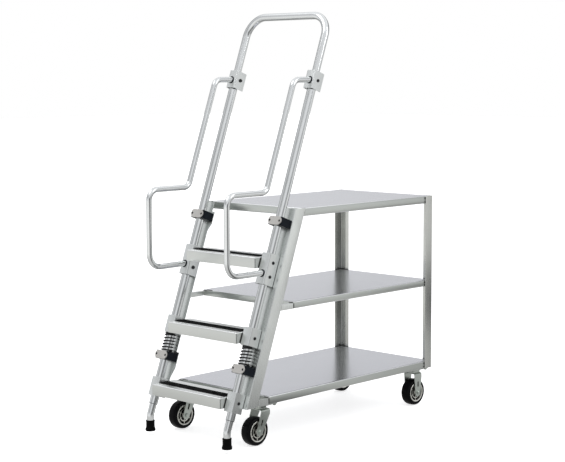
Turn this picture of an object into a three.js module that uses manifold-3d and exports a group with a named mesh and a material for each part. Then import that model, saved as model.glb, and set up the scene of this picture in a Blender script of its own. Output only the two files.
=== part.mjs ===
// Three-shelf order-picking cart with a spring-lifted step ladder on its front.
//
// Millimetres, +Z up.  -Y is the ladder side, where the climber stands, and +X is the climber's
// right.  The ladder hangs in four slide blocks on the slanted front uprights.  Two springs hold its
// rubber feet clear of the floor until somebody steps on it.

import * as THREE from 'three';
import { mergeVertices } from 'three/addons/utils/BufferGeometryUtils.js';
import Module from 'manifold-3d';

const wasm = await Module();
wasm.setup();

// ---------------------------------------------------------------- driving dimensions

const GAP = 0.3;                    // clearance left between neighbouring solids

const HALF_WIDTH = 290.6;           // outer faces of the posts and uprights
const SHEET = 2.5;                  // shelf pan thickness
const ANGLE_WALL = 3.2;             // wall of the post and upright angles
const SHELVES = {
  top: { top: 1016, edge: 36, length: 907 },
  middle: { top: 610.7, edge: 30.2, length: 968.6 },
  bottom: { top: 216.1, edge: 34.9, length: 1125.8 },
};
const SHELF_LIP = 14;               // return lip under each shelf edge
const POST_WIDTH = 51;
const POST_CORNER = 12;
const FRAME_FOOT = 181.2;           // lower end of posts and uprights

const RAKE = Math.atan(0.369);      // lean of the uprights and ladder from the vertical
const AXIS_FOOT_Y = -1370.6;        // the stile axis meets the floor plane here, from the rear face
const STILE_X = 244.5;

const UPRIGHT_FACE = 36;            // front face of the uprights, behind the stile axis
const UPRIGHT_DEPTH = 59;
const UPRIGHT_FLANGE = 72;

const STILE_R = 19.05;
const STILE_TOP_BORE = 17.45;
const STILE_FOOT_BORE = 16.35;
const STILE_START = 147;            // distances along the stile axis from the floor plane
const STILE_END = 1668;
const HOOP_R = 17.0;
const HOOP_START = 1634;
const HOOP_TOP = 1978;
const HOOP_BEND = 95;

const LEG_R = 15.9;
const LEG_BEND_Z = 88;
const FOOT_BOTTOM = 18;
const FOOT_TOP = 66;
const FOOT_R = 19.2;
const FOOT_FLARE_R = 22.5;

const STEP_TOPS = { lower: 235, middle: 502, upper: 815 };
const STEP_HALF_WIDTH = 215.4;
const STEP_DEPTH = 134;
const STEP_HEIGHT = 48;
const STEP_NOSE = 63.5;             // step front edge, ahead of the stile axis
const STEP_SHEET = 3;
const TREAD_INSET = 33;
const TREAD_DEPTH = 54;
const TREAD_THICK = 1.5;

const BRACKET = { front: 26, rear: 34, outboard: 22.7, inboard: 28.7, wall: 3.2 };
const BRACKET_SPANS = { lower: [181, 266], middle: [471, 550], upper: [742, 880] };
const HOOP_BRACKET_SPAN = [1629, 1712];

const RAIL_R = 12.7;
const RAIL_STANDOFF = 119;          // sloping run of the handrail, ahead of the stile axis
const RAIL_TOP_Z = 1572;
const RAIL_SHOULDER_Z = 1092.5;
const RAIL_BOTTOM_Z = 748.5;
const RAIL_FRONT_Y = -1330;

const BLOCK_HALF_WIDTH = 38;
const BLOCK_HEIGHT = 38;
const BLOCK_BORE = 19.5;
const BLOCK_FRONT = 23.7;
const CLAMP_THICK = 6;
const BLOCKS = { lower: 366.6, upper: 1024 };
const MOUNT_PLATE_EDGE = 202;       // inboard edge of the plates that carry the slide blocks
const MOUNT_PLATES = { lower: { low: 277, wide: 322, high: 394 }, upper: { low: 962, wide: 996, high: 1052 } };

const SPRING = { meanR: 23.6, wireR: 2.5, turns: 5.5, low: 389, high: 468 };

const WHEEL_R = 63.5;
const WHEEL_X = 232.4;
const TYRE_WIDTH = 52;
const HUB_R = 47;
const REAR_AXLE_Y = -68.4;
const FRONT_PIVOT_Y = -1124;
const CASTER_TRAIL = 36;
const PLATE = { x: 100, y: 114, thick: 4 };
const CROWN_Z = 158;
const FORK_WALL = 3.5;
const FORK_END_R = 19;
const FORK_INNER = 29.5;
const AXLE_R = 4.75;

const ROUND = 20;                   // sides of the larger round sections

// ---------------------------------------------------------------- colours

const finish = (color, roughness, metalness) => () =>
  new THREE.MeshStandardMaterial({ color, roughness, metalness });
const MILL_ALUMINIUM = finish(0xb9bcc0, 0.38, 0.9);
const SHELF_ALUMINIUM = finish(0xc9c9d2, 0.42, 0.8);
const TUBE_ALUMINIUM = finish(0xcfd2d4, 0.28, 0.95);
const CAST_ALUMINIUM = finish(0xb3aea8, 0.6, 0.7);
const ZINC_STEEL = finish(0x9fa8a4, 0.45, 0.85);
const HUB_METAL = finish(0xb8b8ac, 0.5, 0.6);
const BLACK_PLASTIC = finish(0x16191c, 0.5, 0.0);
const BLACK_RUBBER = finish(0x0e0e0f, 0.7, 0.0);
const BLACK_STEEL = finish(0x151515, 0.45, 0.4);
const GRIP_STRIP = finish(0x0b0b0c, 0.9, 0.0);

// ---------------------------------------------------------------- solids

function toSolid(geometry) {
  const bare = geometry.clone();
  bare.deleteAttribute('normal');
  bare.deleteAttribute('uv');
  const merged = mergeVertices(bare, 1e-4);
  return new wasm.Manifold(new wasm.Mesh({
    numProp: 3,
    vertProperties: new Float32Array(merged.attributes.position.array),
    triVerts: new Uint32Array(merged.index.array),
  }));
}

function toGeometry(solid) {
  const mesh = solid.getMesh();
  const geometry = new THREE.BufferGeometry();
  geometry.setAttribute('position', new THREE.BufferAttribute(new Float32Array(mesh.vertProperties), 3));
  geometry.setIndex(new THREE.BufferAttribute(new Uint32Array(mesh.triVerts), 1));
  geometry.computeVertexNormals();
  return geometry;
}

function join(...geometries) {
  return toGeometry(geometries.map(toSolid).reduce((sum, solid) => sum.add(solid)));
}

function cut(geometry, ...tools) {
  return toGeometry(tools.map(toSolid).reduce((rest, tool) => rest.subtract(tool), toSolid(geometry)));
}

function block([x0, x1], [y0, y1], [z0, z1]) {
  return new THREE.BoxGeometry(x1 - x0, y1 - y0, z1 - z0)
    .translate((x0 + x1) / 2, (y0 + y1) / 2, (z0 + z1) / 2);
}

// A plate whose outline is drawn in the YZ plane, between two X positions.
function plateAcrossX(outline, x0, x1) {
  const depth = Math.abs(x1 - x0);
  return new THREE.ExtrudeGeometry(outline, { depth, bevelEnabled: false, curveSegments: 6 })
    .applyMatrix4(new THREE.Matrix4().makeBasis(
      new THREE.Vector3(0, 1, 0), new THREE.Vector3(0, 0, 1), new THREE.Vector3(1, 0, 0)))
    .translate(Math.min(x0, x1), 0, 0);
}

function polygon(points) {
  return new THREE.Shape(points.map(([u, v]) => new THREE.Vector2(u, v)));
}

// A turned solid about Z, from a closed list of [radius, height] points.
function turned(points, sides = ROUND) {
  const profile = points.map(([r, z]) => new THREE.Vector2(r, z));
  return new THREE.LatheGeometry(profile, sides).rotateX(Math.PI / 2);
}

function rodAlongX(radius, x0, x1, y, z, sides = 12) {
  return new THREE.CylinderGeometry(radius, radius, x1 - x0, sides)
    .rotateZ(Math.PI / 2)
    .translate((x0 + x1) / 2, y, z);
}

// A centre line of straight runs and bends, sampled only where its direction changes.
class BentPath extends THREE.Curve {
  constructor(corners, radii, bendSteps = 5) {
    super();
    this.points = [corners[0]];
    for (let i = 1; i < corners.length - 1; i++) {
      this.addBend(corners[i - 1], corners[i], corners[i + 1], radii[i - 1], bendSteps);
    }
    this.points.push(corners[corners.length - 1]);
  }

  addBend(before, corner, after, radius, steps) {
    const incoming = corner.clone().sub(before).normalize();
    const outgoing = after.clone().sub(corner).normalize();
    const turn = incoming.angleTo(outgoing);
    const setback = radius * Math.tan(turn / 2);
    const start = corner.clone().addScaledVector(incoming, -setback);
    const inward = outgoing.clone().addScaledVector(incoming, -outgoing.dot(incoming)).normalize();
    for (let step = 0; step <= steps; step++) {
      const angle = (turn * step) / steps;
      this.points.push(start.clone()
        .addScaledVector(incoming, radius * Math.sin(angle))
        .addScaledVector(inward, radius * (1 - Math.cos(angle))));
    }
  }

  get steps() {
    return this.points.length - 1;
  }

  getPoint(t, target = new THREE.Vector3()) {
    return target.copy(this.points[Math.round(t * this.steps)]);
  }

  getPointAt(u, target) {
    return this.getPoint(u, target);
  }

  getTangentAt(u, target = new THREE.Vector3()) {
    const i = Math.round(u * this.steps);
    const back = this.points[Math.max(i - 1, 0)];
    const ahead = this.points[Math.min(i + 1, this.steps)];
    const here = this.points[i];
    const incoming = here.clone().sub(back).normalize();
    const outgoing = ahead.clone().sub(here).normalize();
    return target.copy(incoming).add(outgoing).normalize();
  }
}

function circle(radius, sides) {
  const shape = new THREE.Shape();
  for (let i = 0; i < sides; i++) {
    const angle = (2 * Math.PI * i) / sides;
    const point = [radius * Math.cos(angle), radius * Math.sin(angle)];
    if (i === 0) shape.moveTo(...point);
    else shape.lineTo(...point);
  }
  shape.closePath();
  return shape;
}

function bentRod(path, radius, sides = 12) {
  return new THREE.ExtrudeGeometry(circle(radius, sides), { steps: path.steps, extrudePath: path });
}

// ---------------------------------------------------------------- the leaning frame
//
// Parts on the ladder axis are drawn in leaning coordinates: x across, y rearward from the stile
// axis, z along it.  The same lines are wanted in upright coordinates for the horizontal parts.

const leaningY = (z, ahead) => AXIS_FOOT_Y + Math.tan(RAKE) * z - ahead / Math.cos(RAKE);

const model = new THREE.Group();
const leaning = new THREE.Group();
leaning.position.set(0, AXIS_FOOT_Y, 0);
leaning.rotation.x = -RAKE;
model.add(leaning);

function add(parent, name, geometry, material) {
  const mesh = new THREE.Mesh(geometry, material());
  mesh.name = name;
  parent.add(mesh);
  return mesh;
}

const SIDES = [['left', -1], ['right', 1]];

// Orders a pair of X positions given as distances outboard on one side.
const across = (side, a, b) => (side > 0 ? [a, b] : [-b, -a]);

// ---------------------------------------------------------------- shelves and posts

function shelf({ top, edge, length }) {
  const half = HALF_WIDTH - ANGLE_WALL - GAP;
  const rear = -ANGLE_WALL - GAP;
  const base = top - edge;
  const pan = block([-half, half], [-length, rear], [base, top]);
  const hollow = block(
    [-half + SHEET, half - SHEET], [-length + SHEET, rear - SHEET], [base + SHEET, top - SHEET]);
  const mouth = block(
    [-half + SHELF_LIP, half - SHELF_LIP],
    [-length + SHELF_LIP, rear - SHELF_LIP],
    [base - 1, base + SHEET + 1]);
  return cut(pan, hollow, mouth);
}

for (const [name, size] of Object.entries(SHELVES)) {
  add(model, `${name}_shelf`, shelf(size), SHELF_ALUMINIUM);
}

function roundedPostSide() {
  const top = SHELVES.top.top;
  const shape = new THREE.Shape();
  shape.moveTo(0, FRAME_FOOT);
  shape.lineTo(0, top);
  shape.lineTo(-POST_WIDTH + POST_CORNER, top);
  shape.absarc(-POST_WIDTH + POST_CORNER, top - POST_CORNER, POST_CORNER, Math.PI / 2, Math.PI, false);
  shape.lineTo(-POST_WIDTH, FRAME_FOOT);
  return shape;
}

function rearPost(side) {
  const wall = across(side, HALF_WIDTH - ANGLE_WALL, HALF_WIDTH);
  const back = across(side, HALF_WIDTH - POST_WIDTH, HALF_WIDTH - ANGLE_WALL / 2);
  return join(
    plateAcrossX(roundedPostSide(), ...wall),
    block(back, [-ANGLE_WALL, 0], [FRAME_FOOT, SHELVES.top.top]));
}

// An upright is an angle that leans with the ladder and is cut level at both ends.  A tapered plate
// on its inner edge widens it at each slide block.
function upright(side) {
  const top = SHELVES.top.top;
  const face = -UPRIGHT_FACE;
  const strip = (ahead, behind, low, high) => polygon([
    [leaningY(low, ahead), low], [leaningY(low, behind), low],
    [leaningY(high, behind), high], [leaningY(high, ahead), high]]);
  const flange = plateAcrossX(
    strip(face, face - ANGLE_WALL, FRAME_FOOT, top),
    ...across(side, HALF_WIDTH - UPRIGHT_FLANGE, HALF_WIDTH - ANGLE_WALL / 2));
  const web = plateAcrossX(
    strip(face, face - UPRIGHT_DEPTH, FRAME_FOOT, top),
    ...across(side, HALF_WIDTH - ANGLE_WALL, HALF_WIDTH));
  const plates = Object.values(MOUNT_PLATES).map(({ low, wide, high }) => mountPlate(side, low, wide, high));
  return join(flange, web, ...plates);
}

function mountPlate(side, low, wide, high) {
  const edge = HALF_WIDTH - UPRIGHT_FLANGE;
  const outline = polygon([
    [side * (edge + 6), low], [side * edge, low], [side * MOUNT_PLATE_EDGE, wide],
    [side * MOUNT_PLATE_EDGE, high], [side * (edge + 6), high]]);
  return new THREE.ExtrudeGeometry(outline, { depth: ANGLE_WALL, bevelEnabled: false })
    .rotateX(Math.PI / 2)
    .translate(0, UPRIGHT_FACE + ANGLE_WALL, 0)
    .rotateX(-RAKE)
    .translate(0, AXIS_FOOT_Y, 0);
}

for (const [name, side] of SIDES) {
  add(model, `rear_post_${name}`, rearPost(side), MILL_ALUMINIUM);
  add(model, `front_upright_${name}`, upright(side), MILL_ALUMINIUM);
}

// Side brackets carry the middle and bottom shelves forward to the leaning uprights.
const SIDE_BRACKETS = {
  middle: { low: 580.6, high: 605, reach: -1085, flangeWidth: 20, flangeLow: 602 },
  bottom: { low: 184.4, high: 211, reach: -1232, flangeWidth: 100, flangeLow: FRAME_FOOT },
};
const CASTER_FLANGE_REACH = -1186;

function sideBracket(level, side) {
  const { low, high, reach, flangeWidth, flangeLow } = SIDE_BRACKETS[level];
  const outer = HALF_WIDTH - ANGLE_WALL - GAP;
  const start = -SHELVES[level].length - GAP;
  const flangeReach = level === 'bottom' ? CASTER_FLANGE_REACH : leaningY(high, -UPRIGHT_FACE - UPRIGHT_DEPTH) + 8;
  return join(
    block(across(side, outer - ANGLE_WALL, outer), [reach, start], [low - 0.2, high]),
    block(across(side, outer - flangeWidth, outer), [flangeReach, start], [flangeLow, flangeLow + 3.4]));
}

for (const level of Object.keys(SIDE_BRACKETS)) {
  for (const [name, side] of SIDES) {
    add(model, `${level}_side_bracket_${name}`, sideBracket(level, side), MILL_ALUMINIUM);
  }
}

// ---------------------------------------------------------------- slide blocks

function slideBlock(side, centre) {
  const low = centre - BLOCK_HEIGHT / 2;
  const x = side * STILE_X;
  const body = block(
    [x - BLOCK_HALF_WIDTH, x + BLOCK_HALF_WIDTH],
    [-BLOCK_FRONT, UPRIGHT_FACE - GAP],
    [low, low + BLOCK_HEIGHT]);
  const bore = turned([[0, 0], [BLOCK_BORE, 0], [BLOCK_BORE, BLOCK_HEIGHT + 4], [0, BLOCK_HEIGHT + 4]], 24)
    .translate(x, 0, low - 2);
  return cut(body, bore);
}

// The clamp plate is a flat casting with round ends and two screw recesses.
function clampPlate(side, centre) {
  const r = BLOCK_HEIGHT / 2;
  const run = BLOCK_HALF_WIDTH - r;
  const shape = new THREE.Shape();
  shape.moveTo(-run, -r);
  shape.lineTo(run, -r);
  shape.absarc(run, 0, r, -Math.PI / 2, Math.PI / 2, false);
  shape.lineTo(-run, r);
  shape.absarc(-run, 0, r, Math.PI / 2, 1.5 * Math.PI, false);
  const plate = new THREE.ExtrudeGeometry(shape, { depth: CLAMP_THICK, bevelEnabled: false, curveSegments: 8 })
    .rotateX(Math.PI / 2)
    .translate(side * STILE_X, -BLOCK_FRONT - GAP, centre);
  const recesses = [-1, 1].map((end) => new THREE.CylinderGeometry(4.5, 4.5, 8, 10)
    .translate(side * STILE_X + end * 28.5, -BLOCK_FRONT - GAP - CLAMP_THICK, centre));
  return cut(plate, ...recesses);
}

for (const [level, centre] of Object.entries(BLOCKS)) {
  for (const [name, side] of SIDES) {
    add(leaning, `slide_block_${level}_${name}`, slideBlock(side, centre), BLACK_PLASTIC);
    add(leaning, `clamp_plate_${level}_${name}`, clampPlate(side, centre), CAST_ALUMINIUM);
  }
}

// ---------------------------------------------------------------- ladder stiles, hoop and feet

function stile() {
  const sleeve = 84;
  return turned([
    [STILE_FOOT_BORE, STILE_START], [STILE_R, STILE_START], [STILE_R, STILE_END],
    [STILE_TOP_BORE, STILE_END], [STILE_TOP_BORE, STILE_START + sleeve],
    [STILE_FOOT_BORE, STILE_START + sleeve], [STILE_FOOT_BORE, STILE_START]]);
}

function hoop() {
  const corner = (x, z) => new THREE.Vector3(x, 0, z);
  const path = new BentPath([
    corner(-STILE_X, HOOP_START), corner(-STILE_X, HOOP_TOP),
    corner(STILE_X, HOOP_TOP), corner(STILE_X, HOOP_START)], [HOOP_BEND, HOOP_BEND], 7);
  return bentRod(path, HOOP_R, 16);
}

// The leg leaves the stile's bore on its axis and bends upright into the foot.
function leg(side) {
  const along = STILE_START + 58;
  const x = side * STILE_X;
  const top = new THREE.Vector3(x, AXIS_FOOT_Y + along * Math.sin(RAKE), along * Math.cos(RAKE));
  const bendY = leaningY(LEG_BEND_Z, 0);
  const path = new BentPath([
    top, new THREE.Vector3(x, bendY, LEG_BEND_Z), new THREE.Vector3(x, bendY, FOOT_BOTTOM + 12)], [60], 3);
  return bentRod(path, LEG_R, 16);
}

function rubberFoot() {
  const bore = LEG_R + 0.5;
  return turned([
    [0, FOOT_BOTTOM], [FOOT_FLARE_R - 2, FOOT_BOTTOM], [FOOT_FLARE_R, FOOT_BOTTOM + 3],
    [FOOT_FLARE_R, FOOT_BOTTOM + 10], [FOOT_R, FOOT_BOTTOM + 17], [FOOT_R, FOOT_TOP],
    [bore, FOOT_TOP], [bore, FOOT_BOTTOM + 11], [0, FOOT_BOTTOM + 11]]);
}

for (const [name, side] of SIDES) {
  add(leaning, `stile_${name}`, stile(), TUBE_ALUMINIUM).position.x = side * STILE_X;
  add(model, `leg_${name}`, leg(side), TUBE_ALUMINIUM);
  add(model, `rubber_foot_${name}`, rubberFoot(), BLACK_RUBBER)
    .position.set(side * STILE_X, leaningY(LEG_BEND_Z, 0), 0);
}
add(leaning, 'top_hoop', hoop(), TUBE_ALUMINIUM);

// ---------------------------------------------------------------- brackets on the stiles

// A channel that wraps the stile from the front and is open at the rear.
function stileBracket(side, [low, high]) {
  const { front, rear, outboard, inboard, wall } = BRACKET;
  const span = (grow) => across(side, STILE_X - inboard + grow, STILE_X + outboard - grow);
  return cut(
    block(span(0), [-front, rear], [low, high]),
    block(span(wall), [-front + wall, rear + 1], [low - 1, high + 1]));
}

for (const [name, side] of SIDES) {
  for (const [level, reach] of Object.entries(BRACKET_SPANS)) {
    add(leaning, `step_bracket_${level}_${name}`, stileBracket(side, reach), MILL_ALUMINIUM);
  }
  add(leaning, `hoop_bracket_${name}`, stileBracket(side, HOOP_BRACKET_SPAN), MILL_ALUMINIUM);
}

// ---------------------------------------------------------------- steps

function step(top) {
  const front = leaningY(top, STEP_NOSE);
  const rear = front + STEP_DEPTH;
  const wide = STEP_HALF_WIDTH;
  return cut(
    block([-wide, wide], [front, rear], [top - STEP_HEIGHT, top]),
    block(
      [-wide + STEP_SHEET, wide - STEP_SHEET],
      [front + STEP_SHEET, rear - STEP_SHEET],
      [top - STEP_HEIGHT - 1, top - STEP_SHEET]));
}

function tread(top) {
  const front = leaningY(top, STEP_NOSE) + TREAD_INSET;
  const wide = STEP_HALF_WIDTH - 6;
  return block([-wide, wide], [front, front + TREAD_DEPTH], [top + GAP, top + GAP + TREAD_THICK]);
}

for (const [level, top] of Object.entries(STEP_TOPS)) {
  add(model, `step_${level}`, step(top), MILL_ALUMINIUM);
  add(model, `grip_strip_${level}`, tread(top), GRIP_STRIP);
}

// ---------------------------------------------------------------- handrails

function handrail(side) {
  const clearOfBracket = (z) => leaningY(z - RAIL_R, BRACKET.front) - 0.5;
  const point = (y, z) => new THREE.Vector3(side * STILE_X, y, z);
  const path = new BentPath([
    point(clearOfBracket(RAIL_TOP_Z), RAIL_TOP_Z),
    point(leaningY(RAIL_TOP_Z, RAIL_STANDOFF), RAIL_TOP_Z),
    point(leaningY(RAIL_SHOULDER_Z, RAIL_STANDOFF), RAIL_SHOULDER_Z),
    point(RAIL_FRONT_Y, RAIL_SHOULDER_Z),
    point(RAIL_FRONT_Y, RAIL_BOTTOM_Z),
    point(clearOfBracket(RAIL_BOTTOM_Z), RAIL_BOTTOM_Z),
  ], [42, 38, 48, 60]);
  return bentRod(path, RAIL_R);
}

for (const [name, side] of SIDES) add(model, `handrail_${name}`, handrail(side), TUBE_ALUMINIUM);

// ---------------------------------------------------------------- lift springs

class Coil extends THREE.Curve {
  getPoint(t, target = new THREE.Vector3()) {
    const angle = 2 * Math.PI * SPRING.turns * t;
    const low = SPRING.low + SPRING.wireR;
    const rise = SPRING.high - SPRING.low - 2 * SPRING.wireR;
    return target.set(SPRING.meanR * Math.cos(angle), SPRING.meanR * Math.sin(angle), low + rise * t);
  }
}

function liftSpring() {
  return new THREE.ExtrudeGeometry(circle(SPRING.wireR, 6), {
    steps: Math.round(SPRING.turns * 12),
    extrudePath: new Coil(),
  });
}

for (const [name, side] of SIDES) {
  add(leaning, `lift_spring_${name}`, liftSpring(), BLACK_STEEL).position.x = side * STILE_X;
}

// ---------------------------------------------------------------- casters

const PLATE_TOP = FRAME_FOOT - GAP;
const PLATE_BOTTOM = PLATE_TOP - PLATE.thick;
const RACE_R = 29;
const CROWN_HALF = 26;

function topPlate(y) {
  return block([-PLATE.x / 2, PLATE.x / 2], [y - PLATE.y / 2, y + PLATE.y / 2], [PLATE_BOTTOM, PLATE_TOP]);
}

// One fork leg: wide at the crown, with a round end about the axle.
function forkLeg(crownY, axleY) {
  const endR = FORK_END_R;
  const shape = new THREE.Shape();
  shape.moveTo(crownY - CROWN_HALF, CROWN_Z);
  shape.lineTo(axleY - endR, WHEEL_R);
  shape.absarc(axleY, WHEEL_R, endR, Math.PI, 2 * Math.PI, false);
  shape.lineTo(crownY + CROWN_HALF, CROWN_Z - 18);
  shape.lineTo(crownY + CROWN_HALF, CROWN_Z);
  return shape;
}

function fork(crownY, axleY) {
  const outer = FORK_INNER + FORK_WALL;
  return join(
    block([-outer, outer], [crownY - CROWN_HALF, crownY + CROWN_HALF], [CROWN_Z - FORK_WALL, CROWN_Z]),
    plateAcrossX(forkLeg(crownY, axleY), -outer, -FORK_INNER),
    plateAcrossX(forkLeg(crownY, axleY), FORK_INNER, outer),
    rodAlongX(AXLE_R, -outer - 1, outer + 1, axleY, WHEEL_R),
    rodAlongX(8, -outer - 6, -outer + 0.5, axleY, WHEEL_R, 6),
    rodAlongX(8, outer - 0.5, outer + 6, axleY, WHEEL_R, 6));
}

function race(y, radius, low, high) {
  return turned([[0, low], [radius, low], [radius, high], [0, high]], ROUND).translate(0, y, 0);
}

function tyre() {
  const half = TYRE_WIDTH / 2;
  const seat = HUB_R + 0.4;
  return turned([
    [seat, -half + 2], [WHEEL_R - 10, -half], [WHEEL_R - 3.5, -half + 5], [WHEEL_R, -half + 14],
    [WHEEL_R, half - 14], [WHEEL_R - 3.5, half - 5], [WHEEL_R - 10, half], [seat, half - 2],
    [seat, -half + 2]], 28).rotateY(Math.PI / 2);
}

function hub() {
  const rim = HUB_R;
  const bore = AXLE_R + 0.45;
  const half = TYRE_WIDTH / 2;
  return turned([
    [bore, -half - 1.5], [14, -half - 1.5], [14, -6], [41, -6], [41, -half + 2], [rim, -half + 2],
    [rim, half - 2], [41, half - 2], [41, 6], [14, 6], [14, half + 1.5], [bore, half + 1.5],
    [bore, -half - 1.5]], 24).rotateY(Math.PI / 2);
}

function wheel(name, x, axleY) {
  add(model, `tyre_${name}`, tyre(), BLACK_RUBBER).position.set(x, axleY, WHEEL_R);
  add(model, `hub_${name}`, hub(), HUB_METAL).position.set(x, axleY, WHEEL_R);
}

for (const [name, side] of SIDES) {
  const x = side * WHEEL_X;
  const split = CROWN_Z + 10;
  const frontPlate = join(topPlate(FRONT_PIVOT_Y), race(FRONT_PIVOT_Y, RACE_R, split, PLATE_BOTTOM + 1));
  const frontAxleY = FRONT_PIVOT_Y - CASTER_TRAIL;
  const frontFork = join(
    fork(FRONT_PIVOT_Y, frontAxleY),
    race(FRONT_PIVOT_Y, RACE_R - 3, CROWN_Z - 1, split - GAP));
  const rearFork = join(
    topPlate(REAR_AXLE_Y),
    fork(REAR_AXLE_Y, REAR_AXLE_Y),
    block([-24, 24], [REAR_AXLE_Y - 24, REAR_AXLE_Y + 24], [CROWN_Z - 1, PLATE_BOTTOM + 1]));
  add(model, `front_caster_plate_${name}`, frontPlate, ZINC_STEEL).position.x = x;
  add(model, `front_caster_fork_${name}`, frontFork, ZINC_STEEL).position.x = x;
  add(model, `rear_caster_fork_${name}`, rearFork, ZINC_STEEL).position.x = x;
  wheel(`front_${name}`, x, frontAxleY);
  wheel(`rear_${name}`, x, REAR_AXLE_Y);
}

// ---------------------------------------------------------------- origin

// The origin is under the middle of the whole object, on the floor.
const FRONT_OF_ALL = leaningY(LEG_BEND_Z, 0) - FOOT_FLARE_R;
model.position.y = -FRONT_OF_ALL / 2;

export default model;
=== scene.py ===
"""Visual model of a three-shelf picking cart with a spring-lifted step ladder.

Lengths in the helpers are millimetres.  Y is measured from the cart's rear face and turned into the
shared frame, in metres, when a mesh is made.
"""
import random
from math import atan, cos, pi, radians, sin, sqrt, tan

import bmesh
import bpy
from mathutils import Matrix, Vector


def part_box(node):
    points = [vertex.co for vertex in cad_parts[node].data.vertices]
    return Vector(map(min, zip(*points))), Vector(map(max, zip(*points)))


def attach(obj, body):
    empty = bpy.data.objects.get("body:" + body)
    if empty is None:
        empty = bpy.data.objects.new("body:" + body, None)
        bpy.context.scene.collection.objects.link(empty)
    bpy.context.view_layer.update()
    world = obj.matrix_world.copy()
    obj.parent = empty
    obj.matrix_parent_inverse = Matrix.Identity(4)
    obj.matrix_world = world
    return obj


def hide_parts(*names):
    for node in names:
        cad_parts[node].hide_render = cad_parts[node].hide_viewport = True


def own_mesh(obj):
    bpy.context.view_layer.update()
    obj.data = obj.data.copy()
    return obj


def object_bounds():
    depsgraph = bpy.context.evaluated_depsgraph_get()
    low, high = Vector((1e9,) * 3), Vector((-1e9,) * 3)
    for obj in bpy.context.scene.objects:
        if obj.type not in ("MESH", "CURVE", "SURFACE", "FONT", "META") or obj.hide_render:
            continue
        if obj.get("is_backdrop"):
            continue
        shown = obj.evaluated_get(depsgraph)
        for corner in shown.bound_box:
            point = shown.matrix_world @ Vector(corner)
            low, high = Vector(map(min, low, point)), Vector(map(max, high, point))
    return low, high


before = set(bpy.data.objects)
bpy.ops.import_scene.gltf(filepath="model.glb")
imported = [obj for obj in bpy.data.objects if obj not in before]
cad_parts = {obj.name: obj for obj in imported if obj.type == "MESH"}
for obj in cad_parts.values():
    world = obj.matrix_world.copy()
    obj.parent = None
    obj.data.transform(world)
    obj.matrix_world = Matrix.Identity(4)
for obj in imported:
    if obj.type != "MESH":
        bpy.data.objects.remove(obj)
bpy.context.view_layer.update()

scene = bpy.context.scene

# ---- sizes taken from the frame

MM = 0.001
REAR_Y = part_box("rear_post_right")[1].y / MM
HALF_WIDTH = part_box("rear_post_right")[1].x / MM


def node_box(node):
    """A CAD node's corners in millimetres, with Y measured from the rear face."""
    low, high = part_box(node)
    shift = Vector((0, REAR_Y, 0))
    return low / MM - shift, high / MM - shift


def shelf_place(level):
    """Height of a shelf's top and base, and Y of its front edge."""
    low, high = node_box(f"{level}_shelf")
    return high.z, low.z, low.y


SHELVES = {level: shelf_place(level) for level in ("top", "middle", "bottom")}
STEPS = {level: node_box(f"step_{level}") for level in ("lower", "middle", "upper")}
FRAME_FOOT = node_box("rear_post_right")[0].z
FRAME_TOP = node_box("rear_post_right")[1].z
SIDES = (("left", -1), ("right", 1))

# The stile axis: how far it leans back for each unit of height, and where it meets the floor.
RAKE = atan(0.369)
AXIS_FOOT_Y = -1370.6
STILE_X = 244.5
STILES = [(name, side, side * STILE_X) for name, side in SIDES]
LEAN = Matrix.Translation((0, AXIS_FOOT_Y, 0)) @ Matrix.Rotation(-RAKE, 4, "X")


def lean(x, behind, along):
    """A point given across, behind the stile axis and along it."""
    return LEAN @ Vector((x, behind, along))


def leaning_y(z, behind):
    """Y of a leaning plane at height z."""
    return AXIS_FOOT_Y + tan(RAKE) * z + behind / cos(RAKE)


# ---- mesh helpers

MERGE_M = 1e-6
MERGE_MM = 1e-4
BEVEL_FROM = radians(40)


def add_object(name, data):
    obj = bpy.data.objects.new(name, data)
    scene.collection.objects.link(obj)
    return obj


def clean_mesh(name, verts, faces, merge):
    """A mesh with doubled points merged and its faces turned outward."""
    mesh = bpy.data.meshes.new(name)
    mesh.from_pydata(verts, [], faces)
    shell = bmesh.new()
    shell.from_mesh(mesh)
    bmesh.ops.remove_doubles(shell, verts=shell.verts, dist=merge)
    bmesh.ops.recalc_face_normals(shell, faces=shell.faces)
    shell.to_mesh(mesh)
    shell.free()
    return mesh


def piece(name, shape, finish, body, node=None, bevel=0.0, segments=2, sharp=35):
    """One mesh object riding on a body, with rounded edges where bevel is given.

    A finish is a material and the slot it stands for, but the slot is not used; the node is the CAD node that
    the piece replaces.
    """
    verts, faces = shape
    material, slot = finish
    metres = [(v[0] * MM, (v[1] + REAR_Y) * MM, v[2] * MM) for v in verts]
    mesh = clean_mesh(name, metres, faces, MERGE_M)
    obj = add_object(name, mesh)
    mesh.shade_smooth()
    if bevel:
        rounding = obj.modifiers.new("rounded_edges", "BEVEL")
        rounding.width = bevel * MM
        rounding.segments = segments
        rounding.limit_method = "ANGLE"
        rounding.angle_limit = BEVEL_FROM
        rounding.harden_normals = True
    else:
        mesh.set_sharp_from_angle(angle=radians(sharp))
    mesh.materials.append(material)
    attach(obj, body)
    if node:
        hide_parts(node)
    return obj


def loose(verts, faces):
    """An object in millimetres that only takes part in boolean work."""
    return add_object("raw", clean_mesh("raw", [tuple(v) for v in verts], faces, MERGE_MM))


def combine(base, *tools):
    """Verts and faces of base after boolean steps, each an (operation, shape)."""
    target = loose(*base)
    cutters = []
    for operation, shape in tools:
        cutter = loose(*shape)
        cutters.append(cutter)
        step = target.modifiers.new("step", "BOOLEAN")
        step.operation = operation
        step.solver = "EXACT"
        step.object = cutter
    graph = bpy.context.evaluated_depsgraph_get()
    result = bpy.data.meshes.new_from_object(target.evaluated_get(graph))
    verts = [v.co.copy() for v in result.vertices]
    faces = [tuple(p.vertices) for p in result.polygons]
    for obj in [target, *cutters]:
        bpy.data.objects.remove(obj)
    bpy.data.meshes.remove(result)
    return verts, faces


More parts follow.
